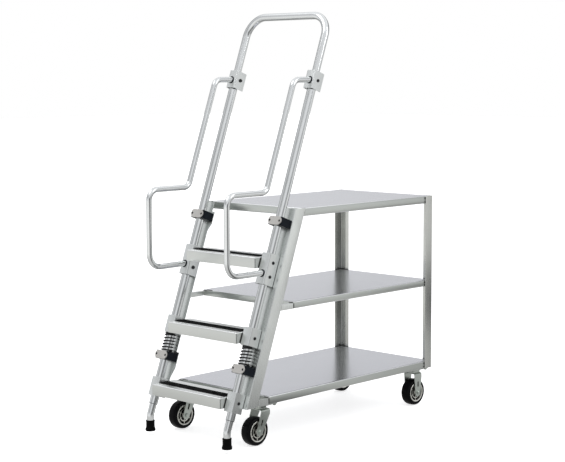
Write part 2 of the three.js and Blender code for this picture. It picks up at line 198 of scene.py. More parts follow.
def cut(base, *shapes):
    return combine(base, *[("DIFFERENCE", shape) for shape in shapes])


def fused(base, *shapes):
    return combine(base, *[("UNION", shape) for shape in shapes])


def moved(shape, matrix):
    verts, faces = shape
    return [matrix @ Vector(v) for v in verts], faces


def shifted(shape, x=0, y=0, z=0):
    return moved(shape, Matrix.Translation((x, y, z)))


def joined(*shapes):
    """Several closed shells kept as one mesh."""
    verts, faces = [], []
    for v, f in shapes:
        start = len(verts)
        verts += list(v)
        faces += [tuple(i + start for i in face) for face in f]
    return verts, faces


def loft(rings, closed=False):
    """Quads between equal rings, with a face on each end unless the rings close on themselves."""
    count, size = len(rings), len(rings[0])
    verts = [Vector(p) for ring in rings for p in ring]
    faces = []
    for i in range(count if closed else count - 1):
        a, b = i * size, ((i + 1) % count) * size
        for j in range(size):
            k = (j + 1) % size
            faces.append((a + j, a + k, b + k, b + j))
    if not closed:
        faces.append(tuple(range(size - 1, -1, -1)))
        faces.append(tuple((count - 1) * size + j for j in range(size)))
    return verts, faces


def about(centre, half):
    """The two ends of a span."""
    return centre - half, centre + half


def rectangle(x, y):
    return [(x[0], y[0]), (x[1], y[0]), (x[1], y[1]), (x[0], y[1])]


def box(x, y, z):
    return loft([[Vector((u, v, h)) for u, v in rectangle(x, y)] for h in z])


def around(count):
    """Angles that divide a full turn."""
    return [2 * pi * k / count for k in range(count)]


def circle(centre, radius, side, other, count):
    """Points round a centre, in the plane of two directions."""
    return [centre + radius * (side * cos(a) + other * sin(a)) for a in around(count)]


def rounded(points, radii, steps=5):
    """A polygon with its corners turned into arcs."""
    out = []
    count = len(points)
    for i, corner in enumerate(points):
        corner = Vector(corner)
        radius = radii[i] if isinstance(radii, list) else radii
        if radius <= 0:
            out.append(corner)
            continue
        to_back = (Vector(points[i - 1]) - corner).normalized()
        to_next = (Vector(points[(i + 1) % count]) - corner).normalized()
        half = to_back.angle(to_next) / 2
        centre = corner + (to_back + to_next).normalized() * (radius / sin(half))
        start = corner + to_back * (radius / tan(half)) - centre
        end = corner + to_next * (radius / tan(half)) - centre
        turn = start.angle_signed(end)
        for s in range(steps + 1):
            angle = -turn * s / steps
            out.append(centre + Vector((
                start.x * cos(angle) - start.y * sin(angle),
                start.x * sin(angle) + start.y * cos(angle))))
    return out


def arc(centre, radius, start, end, steps):
    """Points of an arc, angles in degrees."""
    points = []
    for s in range(steps + 1):
        angle = radians(start + (end - start) * s / steps)
        points.append(Vector((centre[0] + radius * cos(angle), centre[1] + radius * sin(angle))))
    return points


def prism(outline, low, high, matrix=Matrix()):
    """An outline in XY, pushed from low to high along Z."""
    return moved(loft([[Vector((p[0], p[1], h)) for p in outline] for h in (low, high)]), matrix)


# Matrices that stand an XY outline up so that its push direction runs along X or Y.
ALONG_X = Matrix(((0, 0, 1, 0), (1, 0, 0, 0), (0, 1, 0, 0), (0, 0, 0, 1)))
ALONG_Y = Matrix(((1, 0, 0, 0), (0, 0, -1, 0), (0, 1, 0, 0), (0, 0, 0, 1)))


def turned(profile, sides=48):
    """A closed shell of a (radius, height) outline turned about Z."""
    rings = [[Vector((r * cos(a), r * sin(a), z)) for a in around(sides)] for r, z in profile]
    if all(r > 0 for r, _ in profile):
        return loft(rings, closed=True)
    verts, faces = loft(rings)
    quads = [face for face in faces if len(face) == 4]
    return verts, quads


def bend_path(corners, radii, steps=12):
    """Straight runs joined by arcs."""
    path = [Vector(corners[0])]
    for i in range(1, len(corners) - 1):
        corner = Vector(corners[i])
        ahead = (corner - Vector(corners[i - 1])).normalized()
        after = (Vector(corners[i + 1]) - corner).normalized()
        turn = ahead.angle(after)
        start = corner - ahead * radii[i - 1] * tan(turn / 2)
        inward = (after - ahead * after.dot(ahead)).normalized()
        for s in range(steps + 1):
            angle = turn * s / steps
            path.append(start + radii[i - 1] * (ahead * sin(angle) + inward * (1 - cos(angle))))
    path.append(Vector(corners[-1]))
    return path


def sweep(path, outer, inner, sides, chamfer=0.5):
    """A round tube along a path, open at both ends."""
    first = (path[1] - path[0]).normalized()
    last = (path[-1] - path[-2]).normalized()
    path = [path[0], path[0] + first * chamfer, *path[1:-1], path[-1] - last * chamfer, path[-1]]
    tangents = []
    for i in range(len(path)):
        back = (path[i] - path[i - 1]).normalized() if i else first
        ahead = (path[i + 1] - path[i]).normalized() if i < len(path) - 1 else last
        tangents.append((back + ahead).normalized())
    side = tangents[0].orthogonal().normalized()
    outside, inside = [], []
    for i, (point, tangent) in enumerate(zip(path, tangents)):
        side = (side - tangent * side.dot(tangent)).normalized()
        other = tangent.cross(side)
        ease = chamfer if i in (0, len(path) - 1) else 0
        outside.append(circle(point, outer - ease, side, other, sides))
        inside.append(circle(point, inner + ease, side, other, sides))
    return loft(outside + inside[::-1], closed=True)


def pan(half_x, y, top, base, sheet, lip, edge_radius, corner_radius):
    """A folded sheet pan: flat top, turned-down edges and return lips, open underneath."""
    centre_y, half_y = (y[0] + y[1]) / 2, (y[1] - y[0]) / 2

    def ring(inset, z):
        radius = max(corner_radius - inset, 0.4)
        hx, hy = half_x - inset, half_y - inset
        points = []
        for cx, cy, start in ((1, 1, 0), (-1, 1, 90), (-1, -1, 180), (1, -1, 270)):
            points += arc((cx * (hx - radius), cy * (hy - radius)), radius, start, start + 90, 5)
        return [Vector((p[0], p[1] + centre_y, z)) for p in points]

    quarter = [pi / 2 * s / 4 for s in range(5)]
    profile = [(edge_radius * 2.5, top)]
    profile += [(edge_radius * (1 - sin(a)), top - edge_radius * (1 - cos(a))) for a in quarter]
    profile += [(0, base + edge_radius)]
    if lip:
        profile += [(edge_radius * (1 - cos(a)), base + edge_radius * (1 - sin(a)))
                    for a in quarter[1:]]
        profile += [(lip, base), (lip, base + sheet), (sheet + 1, base + sheet)]
    else:
        profile += [(0, base + 0.4), (0.4, base), (sheet - 0.4, base), (sheet, base + 0.4)]
    profile += [(sheet, base + sheet + 1), (sheet, top - sheet - 1), (sheet + 1, top - sheet)]
    return loft([ring(inset, z) for inset, z in profile])


# ---- materials

class Graph:
    """A node tree with short ways to add nodes and wire them up."""

    def __init__(self, tree):
        self.tree = tree

    def node(self, kind, **values):
        node = self.tree.nodes.new(f"ShaderNode{kind}")
        for key, value in values.items():
            node.inputs[key.replace("_", " ")].default_value = value
        return node

    def link(self, output, target):
        self.tree.links.new(output, target)

    def calculate(self, operation, *values):
        """A sum, product or other operation on linked values."""
        node = self.node("Math")
        node.operation = operation
        for value, target in zip(values, node.inputs):
            self.link(value, target)
        return node.outputs["Value"]

    def split(self, vector):
        """The X, Y and Z outputs of a vector."""
        node = self.node("SeparateXYZ")
        self.link(vector, node.inputs["Vector"])
        return node.outputs

    def rescale(self, value, low, high, to_low=0.0, to_high=1.0, curve="LINEAR"):
        """A value stretched from one span to another and held inside it."""
        node = self.node("MapRange", From_Min=low, From_Max=high, To_Min=to_low, To_Max=to_high)
        node.interpolation_type = curve
        self.link(value, node.inputs["Value"])
        return node.outputs["Result"]

    def colors(self, value, stops, curve="LINEAR"):
        """A colour by value, with stops given in rising order as (position, colour)."""
        node = self.node("ValToRGB")
        node.color_ramp.interpolation = curve
        elements = node.color_ramp.elements
        elements[0].position = stops[0][0]
        elements[1].position = stops[-1][0]
        for position, _ in stops[1:-1]:
            elements.new(position)
        for element, (_, color) in zip(elements, stops):
            element.color = (*color, 1)
        self.link(value, node.inputs["Fac"])
        return node.outputs["Color"]


# Noise lies mostly between these two values.
NOISE_LOW, NOISE_HIGH = 0.3, 0.7
# The A, B and result sockets of a Mix node that mixes colours.
MIX_COLOR_A, MIX_COLOR_B, MIX_COLOR_RESULT = 6, 7, 2


class Look(Graph):
    """A node material built round its Principled shader."""

    def __init__(self, name, color, metallic, roughness):
        self.material = bpy.data.materials.new(name)
        self.material.use_nodes = True
        super().__init__(self.material.node_tree)
        self.shader = self.tree.nodes["Principled BSDF"]
        self.shader.inputs["Base Color"].default_value = (*color, 1)
        self.shader.inputs["Metallic"].default_value = metallic
        self.shader.inputs["Roughness"].default_value = roughness
        self.color = color
        self.coords = self.node("TexCoord").outputs["Object"]

    def feed(self, name, output):
        """Wire an output into one of the shader's inputs."""
        self.link(output, self.shader.inputs[name])

    def source(self, name):
        """The output that feeds one of the shader's inputs."""
        return self.shader.inputs[name].links[0].from_socket

    def noise(self, scale, stretch=(1, 1, 1), tilt=0.0, detail=4.0, distortion=0.0):
        mapping = self.node("Mapping", Scale=stretch, Rotation=(tilt, 0, 0))
        self.link(self.coords, mapping.inputs["Vector"])
        noise = self.node("TexNoise", Scale=scale, Detail=detail, Distortion=distortion)
        self.link(mapping.outputs["Vector"], noise.inputs["Vector"])
        return noise.outputs["Fac"]

    def tint(self, value, dark, light):
        """Base colour between two shades of the material's own colour."""
        darker = [c * dark for c in self.color]
        lighter = [min(c * light, 1) for c in self.color]
        self.feed("Base Color", self.colors(value, [(NOISE_LOW, darker), (NOISE_HIGH, lighter)]))

    def rough(self, value, low, high):
        """Roughness between two values."""
        self.feed("Roughness", self.rescale(value, NOISE_LOW, NOISE_HIGH, low, high))

    def painted_shade_by_facing(self, upright_shade_color, fold_highlight_color, edge_roughness):
        """Painted shade and highlight by facing: upright faces in a darker painted colour and another
        roughness than the level faces, with a painted highlight on the folds between.
        """
        level = self.calculate("ABSOLUTE", self.split(self.node("NewGeometry").outputs["True Normal"])["Z"])
        share = self.rescale(level, 0.88, 0.95)
        painted_shades = self.node("Mix")
        painted_shades.data_type = "RGBA"
        self.link(share, painted_shades.inputs["Factor"])
        self.link(self.colors(level, [(0.25, upright_shade_color), (0.4, fold_highlight_color)]), painted_shades.inputs[MIX_COLOR_A])
        self.link(self.source("Base Color"), painted_shades.inputs[MIX_COLOR_B])
        self.feed("Base Color", painted_shades.outputs[MIX_COLOR_RESULT])
        polish = self.node("Mix", A=edge_roughness)
        self.link(share, polish.inputs["Factor"])
        self.link(self.source("Roughness"), polish.inputs["B"])
        self.feed("Roughness", polish.outputs["Result"])

    def crevices(self, reach, tight, clear, darkest):
        """Painted shade: the base colour darkened by ambient occlusion where surfaces nearly touch."""
        shade = self.node("AmbientOcclusion", Distance=reach)
        shade.samples = 8
        amount = self.rescale(shade.outputs["AO"], tight, clear, darkest, 1.0)
        product = self.node("VectorMath")
        product.operation = "SCALE"
        self.link(self.source("Base Color"), product.inputs[0])
        self.link(amount, product.inputs["Scale"])
        self.feed("Base Color", product.outputs["Vector"])

    def bump(self, value, distance, strength=1.0):
        node = self.node("Bump", Strength=strength, Distance=distance)
        self.link(value, node.inputs["Height"])
        self.feed("Normal", node.outputs["Normal"])


# How many times finer the grain is along X, Y and Z.
GRAIN_ACROSS = (14, 1100, 1100)
GRAIN_DEEP = (1000, 18, 1000)
GRAIN_TALL = (900, 900, 12)

# Painted highlight on the folds of shelf and step edges.
PAINTED_FOLD_HIGHLIGHT = (0.93, 0.94, 0.94)
EDGE_ROUGHNESS = 0.30


# edge is the painted shade of a metal's upright faces.
def grained_metal(name, slot, color, roughness, stretch, tilt=0.0, shade=(0.96, 1.03), spread=0.08,
                  depth=0.00002, edge=None, crevice=(0.010, 0.18, 0.62, 0.12)):
    """Mill or brushed metal: fine grain in one direction over slow cloudy changes, painted shade where
    surfaces nearly touch, and with edge a painted shade and highlight by facing.
    """
    look = Look(name, color, 1.0, roughness)
    look.tint(look.noise(9.0, detail=3.0, distortion=0.4), *shade)
    grain = look.noise(1.0, stretch=stretch, tilt=tilt, detail=5.0)
    look.rough(grain, roughness - spread, roughness + spread)
    look.bump(grain, depth)
    if edge:
        # Painted shade on upright faces, painted highlight on folds.
        look.painted_shade_by_facing(edge, PAINTED_FOLD_HIGHLIGHT, EDGE_ROUGHNESS)
    # Painted shade where surfaces nearly touch.
    look.crevices(*crevice)
    return look.material, slot


def tube_metal(name, stretch, **values):
    """Drawn tube: bright, with hardly any grain."""
    return grained_metal(name, "tube_aluminium", (0.76, 0.775, 0.775), 0.16, stretch, spread=0.03,
                         depth=0.0000015, **values)


# crevice sets the painted shade in crevices: reach, the occlusion where the colour is darkest and where it is
# untouched, and the darkest share.
SHELF = grained_metal(
    "shelf_mill_aluminium", "shelf_aluminium", (0.655, 0.66, 0.70), 0.22, GRAIN_DEEP, shade=(0.98, 1.02),
    spread=0.03, edge=(0.58, 0.605, 0.58))
FRAME = grained_metal(
    "frame_mill_aluminium", "frame_aluminium", (0.79, 0.815, 0.795), 0.3, GRAIN_TALL, tilt=RAKE)
# Painted shade: the frame aluminium made darker for the rear posts, with painted shade reaching further from
# where they meet other parts.
SHADED_POST = grained_metal(
    "post_shaded_mill_aluminium", "frame_aluminium", (0.585, 0.595, 0.57), 0.2, GRAIN_TALL, spread=0.04,
    crevice=(0.022, 0.30, 0.78, 0.4))
TUBE = tube_metal("drawn_tube_aluminium", (60, 60, 4), tilt=RAKE, crevice=(0.010, 0.18, 0.62, 0.35))
RAIL = tube_metal("handrail_aluminium", (60, 60, 60))
BRACKET = grained_metal(
    "bracket_aluminium", "bracket_aluminium", (0.74, 0.76, 0.75), 0.32, GRAIN_TALL, tilt=RAKE)
STEP = grained_metal(
    "step_brushed_aluminium", "step_aluminium", (0.88, 0.89, 0.88), 0.34, GRAIN_ACROSS,
    edge=(0.66, 0.675, 0.65))
ZINC = grained_metal(
    "zinc_plated_steel", "caster_zinc", (0.55, 0.59, 0.55), 0.34, (220, 220, 220), shade=(0.9, 1.08))
HUB = grained_metal(
    "wheel_centre", "wheel_hub", (0.84, 0.84, 0.78), 0.38, (160, 160, 160), shade=(0.85, 1.1),
    crevice=(0.016, 0.30, 0.66, 0.04))


def cast_metal():
    look = Look("rough_casting", (0.60, 0.585, 0.56), 0.75, 0.5)
    speckle = look.noise(900.0, detail=6.0)
    look.tint(speckle, 0.85, 1.1)
    look.rough(speckle, 0.45, 0.7)
    look.bump(look.noise(700.0, detail=5.0), 0.0004, 0.8)
    return look.material, "clamp_plate_casting"


def weld_metal():
    look = Look("weld_bead", (0.07, 0.07, 0.065), 0.5, 0.5)
    look.tint(look.noise(400.0, detail=5.0), 0.5, 1.5)
    look.rough(look.noise(600.0), 0.4, 0.65)
    look.bump(look.noise(900.0, detail=5.0), 0.0003, 0.7)
    return look.material


def moulded(name, slot, color, roughness, grain, depth, shade=(0.8, 1.3), shine=0.2):
    """Plastic, rubber or blackened steel: a fine even grain over slow changes of shade."""
    look = Look(name, color, 0.0, roughness)
    look.shader.inputs["Specular IOR Level"].default_value = shine
    look.tint(look.noise(30.0, detail=3.0), *shade)
    fine = look.noise(grain, detail=4.0)
    look.rough(fine, roughness - 0.08, roughness + 0.08)
    look.bump(fine, depth, 0.6)
    return look.material, slot


CASTING = cast_metal()
WELD = weld_metal()
PLASTIC = moulded(
    "black_plastic", "slide_block_plastic", (0.007, 0.010, 0.015), 0.38, 1200.0, 0.00004, shine=0.1)
RUBBER = moulded("black_rubber", "foot_rubber", (0.003, 0.003, 0.003), 0.5, 900.0, 0.00008, shine=0.05)
TYRE = moulded("tyre_rubber", "tyre_rubber", (0.004, 0.004, 0.005), 0.26, 700.0, 0.00005, shine=0.07)
GRIT = moulded(
    "grip_grit", "grip_strip", (0.012, 0.012, 0.012), 0.85, 2200.0, 0.0004, shade=(0.5, 2.2), shine=0.0)
WIRE = moulded("spring_wire", "spring_steel", (0.012, 0.012, 0.013), 0.34, 1500.0, 0.00003)
BLACK_SCREW = moulded("black_screw", "spring_steel", (0.008, 0.008, 0.01), 0.3, 1500.0, 0.00003, shine=0.4)

# ---- welds and soft rings

def bead(name, x, y, z, radius, body="cart"):
    """A straight weld run with the ripples the torch leaves.  A pair holds the values at its two ends."""
    start, end = (Vector([v[k] if isinstance(v, tuple) else v for v in (x, y, z)]) for k in (0, 1))
    run = end - start
    count = max(int(run.length / 0.9), 8)
    side = run.orthogonal().normalized()
    other = run.normalized().cross(side)
    rings = []
    for i in range(count + 1):
        t = i / count
        swell = sqrt(max(1 - (2 * t - 1) ** 8, 0.02)) * (1 + 0.14 * sin(i * 1.7))
        rings.append(circle(start + run * t, radius * swell, side, other, 12))
    slot = "frame_aluminium" if body == "cart" else "bracket_aluminium"
    piece(name, loft(rings), (WELD, slot), body, sharp=70)


def soft_ring(name, points, radius):
    """A soft black ring pressed in where a tube meets another part of the ladder.  At the handrail ends it is
    a painted shadow in the joint.
    """
    rings = []
    middle = sum(points, Vector()) / len(points)
    for i, point in enumerate(points):
        ahead = (points[(i + 1) % len(points)] - points[i - 1]).normalized()
        outward = (point - middle).normalized()
        other = ahead.cross(outward).normalized()
        rings.append(circle(point, radius, outward, other, 14))
    piece(name, loft(rings, closed=True), PLASTIC, "ladder", sharp=70)


# ---- shelves and posts

SHEET = 2.5
PAN_INSET = 3.5
for level, (top, base, front) in SHELVES.items():
    shape = pan(HALF_WIDTH - PAN_INSET, (front, -PAN_INSET), top, base, SHEET, lip=14, edge_radius=4.6,
                corner_radius=4.8)
    piece(f"{level}_shelf_pan", shape, SHELF, "cart", f"{level}_shelf")

WALL = 3.2
BEND = 3.0
POST_WIDTH, POST_DEPTH = 51, 50
POST_CORNER_R = 12


def angle_section(width, depth, corner=0.9):
    """Outline of an angle whose outer corner is at the origin: one leg along -X, the other along -Y."""
    return rounded(
        [(0, 0), (-width, 0), (-width, -WALL), (-WALL, -WALL), (-WALL, -depth), (0, -depth)],
        [corner, 0.8, 0.8, BEND, 0.8, 0.8])


def post_shape(side):
    """An upright angle whose side leg is rounded off at its top front corner."""
    section = [(side * (HALF_WIDTH + p.x), p.y) for p in angle_section(POST_WIDTH, POST_DEPTH)]
    centre_y, centre_z = POST_CORNER_R - POST_DEPTH, FRAME_TOP - POST_CORNER_R
    past_y, past_z = -POST_DEPTH - 10, FRAME_TOP + 1
    outline = [(past_y, past_z), (past_y, centre_z)]
    outline += arc((centre_y, centre_z), POST_CORNER_R, 180, 90, 8) + [(centre_y, past_z)]
    knife = shifted(prism(outline, -30, 30, ALONG_X), side * HALF_WIDTH)
    return cut(prism(section, FRAME_FOOT, FRAME_TOP), knife)


for name, side in SIDES:
    piece(f"rear_post_angle_{name}", post_shape(side), SHADED_POST, "cart", f"rear_post_{name}", bevel=0.5)

POST_BEAD_R = 2.3
for level, (top, base, _) in SHELVES.items():
    for name, side in SIDES:
        x = side * (HALF_WIDTH - 2.4)
        for number, heights in enumerate(((base + 4, base + 12), (top - 14, top - 5)), 1):
            bead(f"{level}_post_weld_{number}_{name}", x, -POST_DEPTH - 1.6, heights, POST_BEAD_R)
        if level != "top":
            x = side * (HALF_WIDTH - 4.4)
            far_x = side * (HALF_WIDTH - POST_WIDTH + 2)
            bead(f"{level}_post_foot_weld_side_{name}", x, (-5, -POST_DEPTH + 2), top, POST_BEAD_R)
            bead(f"{level}_post_foot_weld_rear_{name}", (x, far_x), -4.4, top, POST_BEAD_R)

# ---- front uprights

UPRIGHT_FACE = 36.0
UPRIGHT_DEPTH = 59.0
UPRIGHT_FLANGE = 72.1
# Each mounting ear runs inboard to EAR_EDGE.  Its three heights are measured along the stile axis.
EAR_EDGE = 202.0
EARS = ((277, 322, 394), (962, 996, 1052))


def upright_shape(side):
    """An angle that leans with the ladder and is cut level at both ends, with tapered mounting ears."""
    section = angle_section(UPRIGHT_FLANGE, UPRIGHT_DEPTH, corner=3.0)
    rings = []
    for z in (FRAME_FOOT, FRAME_TOP):
        rings.append([
            Vector((side * (HALF_WIDTH + p.x), leaning_y(z, UPRIGHT_FACE - p.y), z)) for p in section])
    ears = []
    edge = side * (HALF_WIDTH - UPRIGHT_FLANGE)
    rooted = side * (HALF_WIDTH - UPRIGHT_FLANGE + 6)
    for low, wide, high in EARS:
        outline = rounded([(rooted, low - 8), (edge, low), (side * EAR_EDGE, wide), (side * EAR_EDGE, high),
                           (rooted, high)], [0, 0, 6, 4, 0])
        ears.append(prism(outline, -UPRIGHT_FACE - WALL, -UPRIGHT_FACE, LEAN @ ALONG_Y))
    return fused(loft(rings), *ears)


for name, side in SIDES:
    piece(f"front_upright_angle_{name}", upright_shape(side), FRAME, "cart", f"front_upright_{name}",
          bevel=0.5)

# ---- shelf arms and their welds

ARM_OUTER = HALF_WIDTH - PAN_INSET
ARM_FLANGE = 20
FOOT_FLANGE = 100
FOOT_FLANGE_FRONT = -1186
FOOT_FLANGE_SHEET = 3.4


def middle_arm(low, high, start):
    """An angle from the middle shelf forward to the upright, its flange on top."""
    section = rounded([(0, low.z), (0, high.z), (-ARM_FLANGE, high.z), (-ARM_FLANGE, high.z - WALL),
                       (-WALL, high.z - WALL), (-WALL, low.z)], [0.8, 0.9, 0.8, 0.8, 2.2, 0.8])
    return loft([[Vector((ARM_OUTER + p.x, y, p.y)) for p in section] for y in (low.y, start)])


def bottom_arm(low, high, start):
    """An upright web with a wide flange below it, which the front caster is bolted to."""
    foot = low.z + 3
    outline = rounded(rectangle((low.y, start), (foot, high.z)), [0, 0, 2, 2])
    web = prism(outline, ARM_OUTER - WALL, ARM_OUTER, ALONG_X)
    flange = box((ARM_OUTER - FOOT_FLANGE, ARM_OUTER), (FOOT_FLANGE_FRONT, start),
                 (low.z, low.z + FOOT_FLANGE_SHEET))
    return fused(web, flange)


for level, arm in (("middle", middle_arm), ("bottom", bottom_arm)):
    for name, side in SIDES:
        shape = arm(*node_box(f"{level}_side_bracket_{name}"), SHELVES[level][2] - 0.3)
        if side < 0:
            shape = moved(shape, Matrix.Scale(-1, 4, (1, 0, 0)))
        piece(f"{level}_shelf_arm_{name}", shape, FRAME, "cart", f"{level}_side_bracket_{name}", bevel=0.5)

ARM_BEAD_R = 1.9
SEAM = about(0, 270)
STITCHES = ((-262, -225), (96, 170))
for level, (top, base, front) in SHELVES.items():
    if level == "bottom":
        bead(f"{level}_front_seam", SEAM, front + 2.2, top - 0.4, 0.8)
    if level != "top":
        for number, stitch in enumerate(STITCHES, 1):
            bead(f"{level}_front_stitch_{number}", stitch, front + 1.6, top - 0.9, ARM_BEAD_R)
    for name, side in SIDES:
        outer = side * (HALF_WIDTH - 3.0)
        if level != "top":
            bead(f"{level}_arm_weld_side_{name}", outer, front - 0.4, (base + 3, top - 6), ARM_BEAD_R)
            across = (outer - side * 4, outer - side * 30)
            bead(f"{level}_arm_weld_top_{name}", across, front - 0.6, top - 4.2, ARM_BEAD_R)
        heights = about((top + base) / 2, 9)
        leaning = tuple(leaning_y(z, UPRIGHT_FACE + UPRIGHT_DEPTH + 1) for z in heights)
        bead(f"{level}_upright_weld_{name}", outer, leaning, heights, ARM_BEAD_R)

# ---- slide blocks and clamp plates

BLOCK_FRONT = 23.7
BLOCK_HALF_WIDTH = 38
BLOCK_HALF_HEIGHT = 19
BLOCKS = {"lower": 366.6, "upper": 1024}
SCREW_REACH = 28.5
FACING_FRONT = Matrix.Rotation(pi / 2, 4, "X")


def plug(radius, low, high, sides=64):
    return turned([(0, low), (radius, low), (radius, high), (0, high)], sides)


def block_shape(x, centre):
    """A block with a bore for the stile."""
    depth = (-BLOCK_FRONT, UPRIGHT_FACE - 0.3)
    body = box(about(x, BLOCK_HALF_WIDTH), depth, about(centre, BLOCK_HALF_HEIGHT))
    return cut(body, shifted(plug(19.5, *about(centre, 25)), x))


def clamp_shape():
    """A plate with round ends and a recess for each screw, facing forward."""
    reach, radius = BLOCK_HALF_WIDTH - BLOCK_HALF_HEIGHT, BLOCK_HALF_HEIGHT
    outline = arc((reach, 0), radius, -90, 90, 16) + arc((-reach, 0), radius, 90, 270, 16)
    recesses = [moved(shifted(plug(5.2, 2.2, 9, 32), way * SCREW_REACH), FACING_FRONT) for way in (-1, 1)]
    return cut(prism(outline, 0, 6, FACING_FRONT), *recesses)


def socket_screw(radius, height):
    """A cap screw with a hexagon socket, head upward from z = 0."""
    head = turned([(0, 0), (radius, 0), (radius, height - 0.6), (radius - 0.6, height), (0, height)], 32)
    return cut(head, plug(radius * 0.5, height * 0.4, height + 1, 6))


for level, centre in BLOCKS.items():
    for name, side, x in STILES:
        piece(f"slide_block_body_{level}_{name}", moved(block_shape(x, centre), LEAN), PLASTIC, "cart",
              f"slide_block_{level}_{name}", bevel=1.4, segments=3)
        at = LEAN @ Matrix.Translation((x, -BLOCK_FRONT - 0.3, centre))
        piece(f"clamp_casting_{level}_{name}", moved(clamp_shape(), at), CASTING, "cart",
              f"clamp_plate_{level}_{name}", bevel=0.9, segments=3)
        for end, way in (("inner", -side), ("outer", side)):
            screw = shifted(socket_screw(4.3, 3.2), way * SCREW_REACH, 0, 2.3)
            piece(f"clamp_screw_{level}_{end}_{name}", moved(screw, at @ FACING_FRONT), BLACK_SCREW, "cart",
                  bevel=0.25)

# ---- ladder tubes and feet

STILE_R = 19.05
STILE_BORE = 16.35
STILE_SOCKET = 17.45
STILE_LOW, STILE_HIGH = 147.0, 1668.0
HOOP_R, HOOP_BORE = 17.0, 14.6
HOOP_LOW, HOOP_TOP = 1634, 1978.0
HOOP_BEND_R = 95
LEG_R, LEG_BORE = 15.9, 13.5
LEG_BEND_Z = 88.0
LEG_BEND_Y = leaning_y(LEG_BEND_Z, 0)


def stile_shape():
    """A tube whose bore is a little wider above the leg."""
    return turned([(STILE_BORE, STILE_LOW), (STILE_R - 0.6, STILE_LOW), (STILE_R, STILE_LOW + 0.6),
                   (STILE_R, STILE_HIGH - 0.6), (STILE_R - 0.6, STILE_HIGH), (STILE_SOCKET, STILE_HIGH),
                   (STILE_SOCKET, STILE_LOW + 84), (STILE_BORE, STILE_LOW + 83)], 56)


def foot_shape(base, top):
    """A rubber boot: a flared sole, a tapering body and a collar round the leg."""
    return turned([
        (0, base), (17.5, base), (18.5, base + 1.4), (20.2, base + 1.6), (22.0, base + 0.4),
        (22.5, base + 3), (22.4, base + 9), (21.4, base + 12), (19.6, base + 16.5), (19.2, base + 20),
        (19.2, top - 6), (19.9, top - 5), (19.9, top - 1.2), (19.0, top), (16.6, top), (16.3, top - 1),
        (16.3, base + 11), (0, base + 11)], 56)


for name, side, x in STILES:
    piece(f"stile_tube_{name}", moved(shifted(stile_shape(), x), LEAN), TUBE, "ladder", f"stile_{name}")

hoop_path = bend_path([(-STILE_X, 0, HOOP_LOW), (-STILE_X, 0, HOOP_TOP), (STILE_X, 0, HOOP_TOP),
                       (STILE_X, 0, HOOP_LOW)], [HOOP_BEND_R, HOOP_BEND_R], steps=20)
piece("hoop_tube", moved(sweep(hoop_path, HOOP_R, HOOP_BORE, sides=48), LEAN), TUBE, "ladder", "top_hoop")

for name, side, x in STILES:
    path = bend_path([lean(x, 0, STILE_LOW + 58), (x, LEG_BEND_Y, LEG_BEND_Z), (x, LEG_BEND_Y, 30)], [60],
                     steps=10)
    piece(f"leg_tube_{name}", sweep(path, LEG_R, LEG_BORE, sides=48), TUBE, "ladder", f"leg_{name}")
    ring = [lean(x + 17.0 * cos(a), 17.0 * sin(a), STILE_LOW - 0.6) for a in around(40)]
    soft_ring(f"leg_ring_{name}", ring, 1.5)
    low, high = node_box(f"rubber_foot_{name}")
    piece(f"foot_boot_{name}", shifted(foot_shape(low.z, high.z), x, LEG_BEND_Y), RUBBER, "ladder",
          f"rubber_foot_{name}")

# ---- stile brackets and their bolts

CHANNEL_OUT, CHANNEL_IN = 22.7, 28.7
CHANNEL_FRONT, CHANNEL_REAR = -26, 34
BOLT_BEHIND = 4
# Each bracket's ends and the heights of its bolts, along the stile axis.
BRACKETS = {
    "step_bracket_lower": ((181, 266), (224,)),
    "step_bracket_middle": ((471, 550), (508,)),
    "step_bracket_upper": ((742, 880), (780, 842)),
    "hoop_bracket": ((1629, 1712), (1672,)),
}
# Bolts whose inboard end is clear of the steps and carries a nut that shows.
NUTS_THAT_SHOW = (780, 1672)


def channel_section(side):
    """A channel round the stile, open behind; X outboard is positive before mirroring."""
    out, inn, front, rear = CHANNEL_OUT, CHANNEL_IN, CHANNEL_FRONT, CHANNEL_REAR
    points = [(out, rear), (out, front), (-inn, front), (-inn, rear), (-inn + WALL, rear),
              (-inn + WALL, front + WALL), (out - WALL, front + WALL), (out - WALL, rear)]
    section = rounded(points, [0.8, 6.2, 6.2, 0.8, 0.8, 3.0, 3.0, 0.8])
    return [(side * p.x, p.y) for p in section]


def hex_bolt(radius, height, washer):
    """A hexagon head on a washer, upward from z = 0."""
    ring = turned([(0, 0), (washer, 0), (washer, 1.1), (washer - 0.4, 1.5), (0, 1.5)], 36)
    head = turned([(0, 1.4), (radius - 0.3, 1.4), (radius, 1.7), (radius, height - 0.9),
                   (radius * 0.88, height), (0, height)], 6)
    return joined(ring, head)


def button_bolt(radius, height):
    """A low domed head with a hexagon socket, upward from z = 0."""
    dome = [(0, 0), (radius, 0), (radius, 0.8)]
    for degrees in (20, 40, 60, 75):
        angle = radians(degrees)
        dome.append((radius * cos(angle), 0.8 + (height - 0.8) * sin(angle)))
    dome.append((0, height))
    return cut(turned(dome, 32), plug(radius * 0.36, height * 0.45, height + 1, 6))


